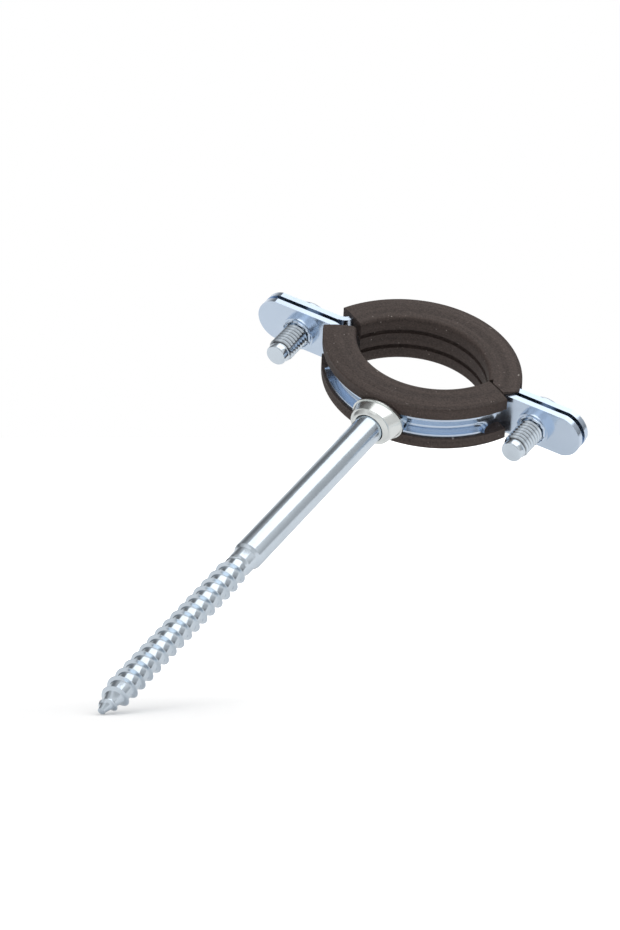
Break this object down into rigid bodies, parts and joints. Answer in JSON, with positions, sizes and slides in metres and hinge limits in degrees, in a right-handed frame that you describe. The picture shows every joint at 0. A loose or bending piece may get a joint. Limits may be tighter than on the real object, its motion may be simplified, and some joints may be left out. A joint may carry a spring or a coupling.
{
  "type": "rubber lined pipe clamp",
  "caption": "Two-part steel pipe clamp with a rubber lining, clamp screws in its ears and a hanger screw with a coarse wood thread in a weld nut.",
  "frame": {"origin": "centre of the bore, on the plane where the two halves part, at mid height of the band", "axes": "+Z along the pipe, the ears lie along X, the hanger screw points along -Y, screw heads on the +Y side"},
  "size_m": [0.0836, 0.1511, 0.012],
  "materials": {
    "zinc_band": "bright zinc plate, bluish",
    "zinc_nut": "bright zinc plate",
    "zinc_screw": "bright zinc plate",
    "lining_rubber": "matte, dark brown-grey"
  },
  "bodies": {
    "screw": {"hanger_screw": "zinc_screw"},
    "front_half": {"weld_nut": "zinc_nut", "front_band": "zinc_band", "front_lining": "lining_rubber"},
    "rear_half": {"rear_band": "zinc_band", "rear_lining": "lining_rubber"},
    "left_screw": {"clamp_screw_left": "zinc_screw"},
    "right_screw": {"clamp_screw_right": "zinc_screw"}
  },
  "joints": [
    {"name": "clamp_swivel", "type": "hinge", "parent": "screw", "child": "front_half", "pos_m": [0, 0, 0], "axis": [0, -1, 0], "continuous": true},
    {"name": "rear_half_lift", "type": "slide", "parent": "front_half", "child": "rear_half", "axis": [0, 1, 0], "range_m": [0, 0.008]},
    {"name": "left_screw_turn", "type": "hinge", "parent": "rear_half", "child": "left_screw", "pos_m": [-0.0305, 0, 0], "axis": [0, 1, 0], "continuous": true},
    {"name": "right_screw_turn", "type": "hinge", "parent": "rear_half", "child": "right_screw", "pos_m": [0.0305, 0, 0], "axis": [0, 1, 0], "continuous": true}
  ],
  "couplings": [
    {"joint": "left_screw_turn", "follows": "rear_half_lift", "rad_per_m": 6283.2},
    {"joint": "right_screw_turn", "follows": "rear_half_lift", "rad_per_m": 6283.2}
  ]
}
